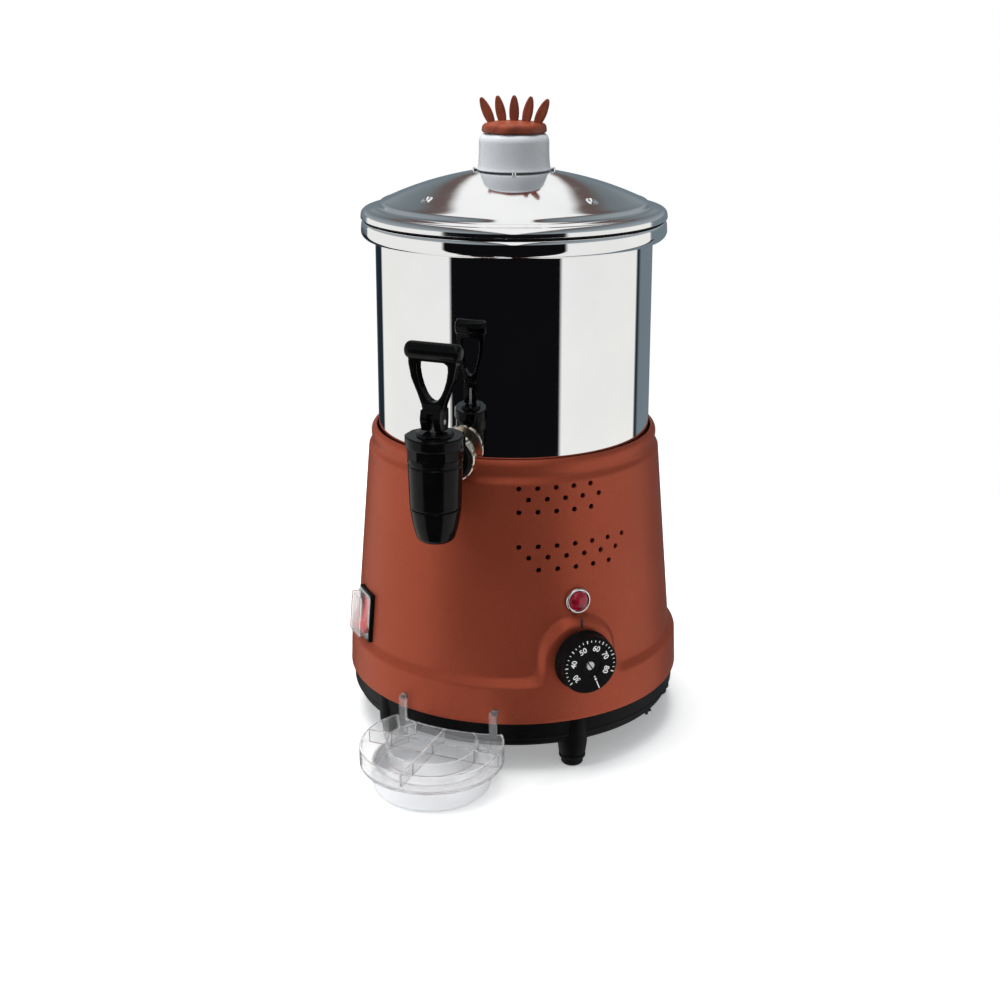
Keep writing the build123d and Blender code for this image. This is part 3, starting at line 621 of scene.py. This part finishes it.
# ---------------------------------------------------------------- controls
def make_knob():
    place = outward(0, SIDE_ANGLE, KNOB_Z)
    print_low, print_high = 156.96, 157.0
    outline = soft([(0, 142.8), (24.6, 142.8, 0.4), (25, 143.8, 0.4), (25, 145.3, 0.5),
                    (24.1, 146, 0.3), (23.8, 155.6, 1.2), (22.6, 156.9, 0.6), (9.5, 157, 0.2),
                    (9.1, 156.5, 0.2), (0, 156.5)], 5)
    piece(lathe("knob_cap", outline, place, 128), "black_plastic", "knob", ["thermostat_knob"])
    screw = soft([(0, 155.2), (3.9, 155.2), (3.9, 156.4, 0.4), (3.1, 156.95, 0.4), (0, 156.98)], 4)
    screw = lathe("knob_screw", screw, place, 40)
    cut(screw, [slab("slot", 1.0, 9, 156.3, 158, 0, place @ Matrix.Rotation(0.6, 4, "Z"))])
    piece(screw, "brushed_steel", "knob")
    scale = {-127: "30", -76: "40", -26: "50", 20: "60", 62: "70", 111: "80"}
    marks = [number(word, 14.6, angle, place) for angle, word in scale.items()]
    for k in range(25):
        here = place @ Matrix.Rotation(-radians(-127 + 238 * k / 24), 4, "Z")
        width, inner, outer = (0.85, 19.4, 22.0) if k % 4 == 0 else (0.6, 20.0, 21.6)
        centre = (inner + outer) / 2
        marks.append(slab("tick", width, outer - inner, print_low, print_high, 0, here, 0, centre))
    here = place @ Matrix.Rotation(-radians(158), 4, "Z")
    marks.append(slab("tick", 0.9, 7.0, print_low, print_high, 0, here, 0, 18.3))
    marks.append(rod("dot", 1.0, print_low, print_high, here, 0, 13.0, 16))
    marks.append(rod("dot", 0.7, print_low, print_high, here, 0, 10.6, 16))
    piece(join("knob_scale", marks), "dial_print", "knob")


def number(word, radius, angle, place):
    """Figures printed on the knob's face, as a thin closed mesh."""
    curve = bpy.data.curves.new("number", "FONT")
    curve.body = word
    curve.size = 6.4
    curve.offset = 0.12
    curve.align_x, curve.align_y = "CENTER", "CENTER"
    curve.extrude = 0.02
    text = bpy.data.objects.new("number", curve)
    bpy.context.scene.collection.objects.link(text)
    me = bpy.data.meshes.new_from_object(text.evaluated_get(bpy.context.evaluated_depsgraph_get()))
    me.transform(place @ Matrix.Rotation(-radians(angle), 4, "Z") @ Matrix.Translation((0, radius, 156.985)))
    me.transform(Matrix.Scale(MM, 4))
    remove(text)
    weld(me, 1e-7)
    obj = bpy.data.objects.new("number", me)
    bpy.context.scene.collection.objects.link(obj)
    return obj


def make_lamp():
    place = outward(cone_r(LAMP_Z), SIDE_ANGLE, LAMP_Z, CONE_RISE)
    bezel = soft([(7.6, 0.2), (10.7, 0.2), (10.8, 1.2, 0.5), (10.2, 2.7, 0.8), (9.3, 3.25, 0.6),
                  (8.45, 2.9, 0.3), (8.45, 1.0), (7.6, 1.0)], 5)
    piece(lathe("lamp_ring", bezel, place, 96), "mirror_steel", "base", ["lamp_bezel"])
    lens = soft([(0, -5), (7.4, -5), (7.4, 1.1), (8.2, 1.1), (8.2, 2.4, 0.6), (7.3, 4.2, 1.0),
                 (5.5, 5.5, 1.4), (2.9, 6.3, 1.4), (0, 6.6)], 5)
    piece(lathe("lamp_dome", lens, place, 64), "red_lens", "base", ["lamp_lens"])


def make_switch():
    place = outward(cone_r(SEAT_Z), SWITCH_ANGLE, SEAT_Z, CONE_RISE)
    frame_part = slab("switch_surround", 30.9, 41.9, -12.9, 2.55, 2.0, place)
    frame_part = bevel(frame_part, 0.7, 3, 50)
    cut(frame_part, [slab("hole", 22, 32, -7.9, 4, 0.8, place), slab("hole", 16, 26, -14, -6.9, 0, place)])
    piece(frame_part, "black_plastic", "base", ["switch_frame"])
    pivot = place @ Matrix.Translation((0, 0, -SWITCH_PIVOT_DEPTH)) @ Matrix.Rotation(-radians(9), 4, "X")
    profile = soft([(-15, -3), (15, -3), (15, 5, 0.8), (8, 3.3, 3), (0, 2.4, 4), (-8, 3.3, 3),
                    (-15, 5, 0.8)], 5)
    rocker = prism("rocker_button", profile, -10.4, 10.4, pivot @ SIDE_VIEW)
    rocker = bevel(rocker, 0.5, 3, 45)
    piece(rocker, "rocker_red", "rocker", ["switch_rocker"])
    skirt = slab("switch_cover", 27, 37.4, 2.7, 4.0, 2.0, place)
    dome = bevel(slab("dome", 24.6, 35, 2.8, 11, 2.6, place), 1.3, 4, 50)
    skirt = add(skirt, dome)
    inside = bevel(slab("inside", 22.4, 32.8, -3, 9.9, 2.0, place), 0.9, 3, 50)
    cut(skirt, [inside])
    piece(skirt, "cover_plastic", "base", ["splash_cover"])


def make_gland():
    place = outward(0, 180, middle("cord_gland").z)
    nut = [on_circle(11 / cos(pi / 6), pi / 3 * k) for k in range(6)]
    gland = bevel(prism("cable_gland", nut, 143.4, 149, place), 0.6, 3, 40)
    outline = soft([(0, 132), (7.9, 132), (7.9, 149), (9.4, 149, 0.3), (9.4, 152.6, 0.8), (9.0, 153.4),
                    (6.8, 157.2, 0.8), (6, 157.95), (0, 157.95)], 4)
    gland = add(gland, lathe("cone", outline, place, 64))
    grips = [rod("grip", 0.8, 149.6, 158.4, place, *on_circle(9.9, pi / 8 * k), 12) for k in range(16)]
    cut(gland, grips + [rod("bore", 3.6, 130, 160, place)])
    piece(gland, "black_plastic", "base", ["cord_gland"])


# ---------------------------------------------------------------- tap
def make_tap():
    shank = outward(0, 0, SHANK_Z)
    outline = soft([(7.5, 224.5, 0.4), (15.8, 224.5), (15.8, 230), (19.4, 230, 0.4), (20.1, 231.0, 0.5),
                    (21.2, 263.6, 0.5), (20.5, 264.4, 0.4), (20.5, 265.6, 0.4), (21.4, 266.4, 0.4),
                    (21.4, 270, 0.3), (17.5, 270), (17.5, 279), (13, 279), (13, 238.4, 0.5), (7.5, 238)], 4)
    body = lathe("tap_barrel", outline, TAP, 96)
    neck = soft([(8, 136), (13, 136, 0.6), (13, 141), (12.4, 150), (12.4, 153), (8, 153)], 3)
    add(body, lathe("neck", neck, shank, 48))
    cut(body, [rod("way", 7.0, 138, 155, shank)])
    piece(body, "tap_plastic", "base", ["tap_body"])
    nozzle = soft([(9, 203.4, 0.6), (12.4, 203, 0.8), (14.8, 205.2, 1.6), (17.6, 214.5, 6), (19.5, 226, 4),
                   (19.9, 229.0, 0.5), (19.4, 229.8, 0.3), (16.05, 229.8), (16.05, 224), (9, 223.8)], 6)
    piece(lathe("tap_spout", nozzle, TAP, 96), "tap_plastic", "base", ["tap_nozzle"])
    make_bonnet()
    flange = soft([(9.05, 131.5), (16.8, 131.5, 0.5), (17.5, 132.6, 0.6), (17.5, 134.8, 0.6),
                   (16.2, 135.8, 0.6), (9.05, 135.8)], 4)
    piece(lathe("tap_washer", flange, shank, 96), "black_plastic", "base", ["tap_flange"])
    nut = soft([(9.05, 123.7), (19, 123.7, 0.6), (19.95, 124.8, 0.8), (19.95, 129.8, 0.8), (18.2, 131.3, 0.8),
                (9.05, 131.3)], 4)
    nut = lathe("shank_nut", nut, shank, 144)
    cut(nut, [rod("flute", 2.6, 120, 135, shank, x, y, 24) for x, y in twelve_sided(21.5)])
    piece(bevel(nut, 0.35, 2, 40), "nickel", "base", ["spigot_nut"])
    spigot = soft([(7, 99.9), (9, 99.9), (9, 145.9), (7, 145.9)])
    piece(lathe("shank_tube", spigot, shank, 64), "nickel", "base", ["tap_spigot"])


def twelve_sided(radius):
    return [on_circle(radius, pi / 6 * (k + 0.5)) for k in range(12)]


def make_bonnet():
    """Twelve-sided cap nut: a wide flange on a narrower band, flat on top."""
    band = bevel(prism("tap_collar_nut", twelve_sided(22.2), 270.3, 279.4, TAP), 0.5, 2, 25)
    flange = bevel(prism("flange", twelve_sided(23.6), 278.2, 287.2, TAP), 1.5, 3, 40)
    boss = lathe("boss", soft([(0, 286.6), (14.5, 286.6), (14.2, 289.4, 1.2), (0, 289.9)], 4), TAP, 64)
    bonnet = add(band, flange, boss)
    tools = [rod("bore", 17.6, 268, 279.3, TAP), rod("stem", 4.1, 268, 292, TAP)]
    tools += [rod("notch", 1.5, 269, 277.4, TAP, *on_circle(22.9, pi / 6 * k), 16) for k in range(12)]
    cut(bonnet, tools)
    piece(bonnet, "tap_plastic", "base", ["tap_bonnet"], 30)


def make_spring():
    """Coil in the tap body, from its foot by the stem up to its head under the bonnet."""
    foot, head, pitch, coil_r, wire_r = 249.6, 278.1, 4.2, 8.5, 0.7
    per_turn, around, verts = 40, 12, []
    turns = (head - foot) / pitch
    rings = int(turns * per_turn) + 1
    for k in range(rings):
        t = k / (rings - 1)
        for m in range(around):
            out, up = on_circle(wire_r, 2 * pi * m / around)
            verts.append((*on_circle(coil_r + out, 2 * pi * turns * t), foot + (head - foot) * t + up))
    faces = rings_to_faces(rings, around) + end_caps(rings, around)
    spring = mesh_from("plunger_spring", verts, faces, TAP)
    spring.data.materials.append(MATS["brushed_steel"])
    smooth(spring)
    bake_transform(spring)
    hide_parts("tap_spring")


def mirrored(half):
    return half + [(-x, z) for x, z in reversed(half)]


def make_handle():
    """Open-topped grip on a cam block, melted into one moulding and then slotted for the stem's tongue."""
    pivot_z = JOINTS["tap_handle_tilt"]["pos_m"][2] / MM
    face = TAP @ Matrix.Rotation(pi / 2, 4, "X")
    outer = [(19.6, 352), (19.8, 343), (17.4, 331), (12.6, 320), (9.2, 311), (8.1, 305), (8.1, 302)]
    inner = [(9.6, 344.4), (12.6, 342.6), (12.9, 338), (11.8, 331), (9.6, 324), (6.8, 318.2), (4.0, 314.8),
             (1.4, 313.4)]
    legs = prism("tap_lever_grip", mirrored(outer), -4.6, 4.6, face)
    cut(legs, [prism("gap", mirrored(inner), -9, 9, face)])
    bar_place = Matrix.Translation((0, TAP_Y, 352)) @ Matrix.Rotation(pi / 2, 4, "Y")
    bar = soft([(0, -23.5), (4.6, -23.3, 2), (6.9, -20.6, 2.4), (6.9, 20.6, 2.4), (4.6, 23.3, 2),
                (0, 23.5)], 6)
    neck = soft([(-6.2, 291.5), (5.8, 291.5), (6.8, 300, 2), (6.2, 307, 2), (4.2, 313, 2), (-4.2, 313, 2),
                 (-6.6, 307, 2), (-8.6, 300, 2)], 4)
    side = TAP @ SIDE_VIEW
    add(legs, lathe("bar", bar, bar_place, 48), prism("neck", neck, -7.4, 7.4, side))
    rounded_blob(legs, 0.55, 5)
    cam = soft([(-6.6, 291.2, 1.2), (6.0, 290.6, 1), (7.4, 299, 1.5), (7.2, 307.6, 0.6), (-7.6, 307.6, 0.6),
                (-9.6, 300.5, 2)], 4)
    add(legs, bevel(prism("cam", cam, -8.4, 8.4, side), 0.7, 3, 40))
    cut(legs, [slab("slot", 5.4, 40, 280, 305, 0, TAP)])
    cross = Matrix.Translation((0, TAP_Y, pivot_z)) @ Matrix.Rotation(pi / 2, 4, "Y")
    cut(legs, [rod("pin_hole", 2.05, -10, 10, cross)])
    piece(legs, "tap_plastic", "tap_lever", ["tap_handle"], 38)


# ---------------------------------------------------------------- drip tray
TRAY_LOW, TRAY_HIGH = 22.3, 37.0


def rounded_ring(name, radius, wall, low, high, place, segments=144):
    """Ring with a rounded top edge."""
    outline = soft([(radius - wall, low), (radius, low, 0.3), (radius, high, 0.8),
                    (radius - wall, high, 0.8)], 3)
    return lathe(name, outline, place, segments)


def make_tray():
    hollow = AXIS_Y - TRAY_Y
    rib_low, rib_end = 26.3, 23
    tray = rounded_ring("tray_rack", 57.5, 2.0, TRAY_LOW, TRAY_HIGH, TRAY)
    ledge = soft([(45, TRAY_LOW), (56.8, TRAY_LOW), (56.8, 24.3), (45, 24.5, 0.6)], 3)
    add(tray, lathe("ledge", ledge, TRAY, 144), rounded_ring("lip", 46.1, 1.5, 16, TRAY_LOW + 1, TRAY),
        rounded_ring("ring", 37, 1.6, rib_low, TRAY_HIGH, TRAY))
    add(tray, slab("rib", 113.4, 2, rib_low, TRAY_HIGH - 0.2, 0, TRAY))
    add(tray, slab("rib", 2, 56.5 + rib_end, rib_low, TRAY_HIGH - 0.3, 0, TRAY, 0, (rib_end - 56.5) / 2))
    cut(tray, [rod("behind", 146, 0, 100, AXIS, segments=256)])
    back = rounded_ring("back", 148, 2.0, TRAY_LOW, TRAY_HIGH - 0.1, AXIS, 360)
    keep(back, rod("trim", 57.3, 20, 40, TRAY, segments=144))
    keep(back, slab("near", 130, 60, 10, 50, 0, AXIS, 0, 15 - hollow))
    add(tray, back)
    front = AXIS @ Matrix.Rotation(pi / 2, 4, "X")
    for x in (-POST_X, POST_X):
        post = soft([(x - 3, 23.3), (x + 3, 23.3), (x + 3, 57, 2.9), (x - 3, 57, 2.9)], 6)
        add(tray, prism("post", post, 139.4, 142.4, front))
        add(tray, slab("tongue", 4.8, 8.6, 52.5, 56.4, 0.8, AXIS, x, -135.3))
    bevel(tray, 0.22, 2, 50)
    piece(tray, "clear_plastic", "drip_tray", ["tray_grid"], 30)
    cup = soft([(0, 0), (43.5, 0, 2.2), (47.6, 4, 3.4), (48.4, 21.0, 0.6), (47.9, 21.9, 0.4),
                (46.6, 21.9, 0.4), (45.9, 5.2, 3.0), (42.6, 2.0, 1.6), (0, 2.0)], 5)
    cup = lathe("tray_cup", cup, TRAY, 144)
    piece(cup, "cup_plastic", "drip_tray", ["drip_cup"])


make_housing()
make_base()
make_tank()
make_lid()
make_knob()
make_lamp()
make_switch()
make_gland()
make_tap()
make_spring()
make_handle()
make_tray()

# ---------------------------------------------------------------- camera
CAMERA_ANGLE, CAMERA_AWAY, CAMERA_HEIGHT = 22.0, 1.25, 0.608
PITCH, TURN = 14.34, 0.53
cam_data = bpy.data.cameras.new("camera")
cam_data.sensor_width = 36.0
cam_data.lens = 54.47
cam_data.shift_y = -0.115
camera = bpy.data.objects.new("camera", cam_data)
bpy.context.scene.collection.objects.link(camera)
camera_x, camera_y = from_tap(CAMERA_AWAY, CAMERA_ANGLE)
camera.location = (camera_x, AXIS_Y * MM + camera_y, CAMERA_HEIGHT)
camera.rotation_euler = (radians(90 - PITCH), 0, radians(CAMERA_ANGLE + TURN))
bpy.context.scene.camera = camera

# ---------------------------------------------------------------- floor, studio and lights
FLOOR_R, FLOOR_SIDES = 860, 128
floor_edge = [on_circle(FLOOR_R, 2 * pi * k / FLOOR_SIDES) for k in range(FLOOR_SIDES)]
floor = prism("floor", floor_edge, -12, -0.05, Matrix.Identity(4))
finish("floor_paper", (0.88, 0.88, 0.88), (0.90, 0.90, 0.90), 0.0, (0.7, 0.8), 300, 0.02, 3,
       Emission_Color=(1, 1, 1, 1), Emission_Strength=0.30)
floor.data.materials.append(MATS["floor_paper"])
floor.visible_glossy = False


def make_world():
    """Plain white to the camera. In reflections, light and dark bands round the tank and a box overhead."""
    world = bpy.data.worlds.new("studio")
    bpy.context.scene.world = world
    world.use_nodes = True
    tree = world.node_tree
    tree.nodes.clear()
    link = tree.links.new
    new = tree.nodes.new
    where = new("ShaderNodeTexCoord")
    parts = new("ShaderNodeSeparateXYZ")
    link(where.outputs["Generated"], parts.inputs[0])

    def math_node(operation, one, two=0.0):
        n = new("ShaderNodeMath")
        n.operation = operation
        for socket, value in zip(n.inputs, (one, two)):
            if isinstance(value, float):
                socket.default_value = value
            else:
                link(value, socket)
        return n.outputs[0]

    def ramp(stops, fac):
        n = new("ShaderNodeValToRGB")
        while len(n.color_ramp.elements) > 1:
            n.color_ramp.elements.remove(n.color_ramp.elements[-1])
        n.color_ramp.elements[0].position = stops[0][0]
        n.color_ramp.elements[0].color = (*stops[0][1], 1)
        for position, colour in stops[1:]:
            n.color_ramp.elements.new(position).color = (*colour, 1)
        link(fac, n.inputs["Fac"])
        return n.outputs["Color"]

    turn = math_node("ARCTAN2", parts.outputs["X"], math_node("MULTIPLY", parts.outputs["Y"], -1.0))
    share = math_node("ADD", math_node("MULTIPLY", turn, 0.5 / pi), 0.5)

    def azimuth_ramp(stops):
        """Colours round the horizon; degrees from the tap towards +X."""
        return ramp([((a + 180) / 360, colour) for a, colour in stops], share)

    white, warm = (0.90, 0.90, 0.89), (0.88, 0.875, 0.85)
    black, slate, steel = (0.004, 0.004, 0.005), (0.014, 0.022, 0.030), (0.165, 0.205, 0.235)
    front = [(-118, warm), (-32, white), (-30, black), (59.5, black), (61.5, white), (142, warm)]
    low = azimuth_ramp([(-180, steel), (-134, slate), (-120, slate)] + front
                       + [(144, slate), (147, slate), (151, steel), (180, steel)])
    level = azimuth_ramp([(-180, steel), (-120, steel)] + front + [(144, steel), (180, steel)])

    # Overhead: a long soft box in line with the camera, with dim surroundings on both sides.
    across = new("ShaderNodeVectorMath")
    across.operation = "DOT_PRODUCT"
    across.inputs[1].default_value = (cos(radians(CAMERA_ANGLE)), sin(radians(CAMERA_ANGLE)), 0)
    link(where.outputs["Generated"], across.inputs[0])
    width = math_node("ABSOLUTE", across.outputs["Value"])
    rise = math_node("MAXIMUM", parts.outputs["Z"], 0.1)
    lean = math_node("DIVIDE", width, rise)
    half = math_node("MULTIPLY", lean, 0.5)
    panel, brown, teal = (0.97, 0.97, 0.97), (0.13, 0.095, 0.09), (0.16, 0.19, 0.205)
    above = ramp([(0.0, panel), (0.135, panel), (0.165, brown), (0.205, brown), (0.26, teal),
                  (0.5, (0.24, 0.28, 0.31)), (1.0, (0.32, 0.35, 0.37))], half)

    def blend(start, end, one, two):
        """From one to two between two heights of the direction."""
        height = new("ShaderNodeMapRange")
        height.interpolation_type = "SMOOTHSTEP"
        height.inputs["From Min"].default_value = start
        height.inputs["From Max"].default_value = end
        link(parts.outputs["Z"], height.inputs["Value"])
        mix = new("ShaderNodeMix")
        mix.data_type = "RGBA"
        link(height.outputs["Result"], mix.inputs["Factor"])
        link(one, mix.inputs["A"])
        link(two, mix.inputs["B"])
        return mix.outputs["Result"]

    lower = blend(-0.15, -0.10, low, level)
    sky = blend(0.10, 0.24, lower, above)
    studio = new("ShaderNodeBackground")
    studio.inputs["Strength"].default_value = 1.0
    link(sky, studio.inputs["Color"])
    plain = new("ShaderNodeBackground")
    plain.inputs["Color"].default_value = (1, 1, 1, 1)
    plain.inputs["Strength"].default_value = 1.0
    rays = new("ShaderNodeLightPath")
    choose = new("ShaderNodeMixShader")
    link(rays.outputs["Is Camera Ray"], choose.inputs["Fac"])
    link(studio.outputs[0], choose.inputs[1])
    link(plain.outputs[0], choose.inputs[2])
    out = new("ShaderNodeOutputWorld")
    link(choose.outputs[0], out.inputs["Surface"])


def soft_light(name, place, aim, size, power):
    """Square light that isn't seen in reflections, because the world already has the bright shapes."""
    data = bpy.data.lights.new(name, "AREA")
    data.shape = "SQUARE"
    data.size = size
    data.energy = power
    light = bpy.data.objects.new(name, data)
    light.location = place
    light.visible_glossy = False
    light.rotation_euler = (Vector(aim) - Vector(place)).to_track_quat("-Z", "Y").to_euler()
    bpy.context.scene.collection.objects.link(light)


make_world()
soft_light("overhead", (-0.25, 0.0, 1.9), (0, 0.05, 0.1), 1.3, 42)
soft_light("left_front", (-1.1, -1.1, 1.2), (0, 0, 0.25), 0.7, 9)
bpy.context.scene.view_settings.view_transform = "Standard"
bpy.context.scene.view_settings.look = "None"
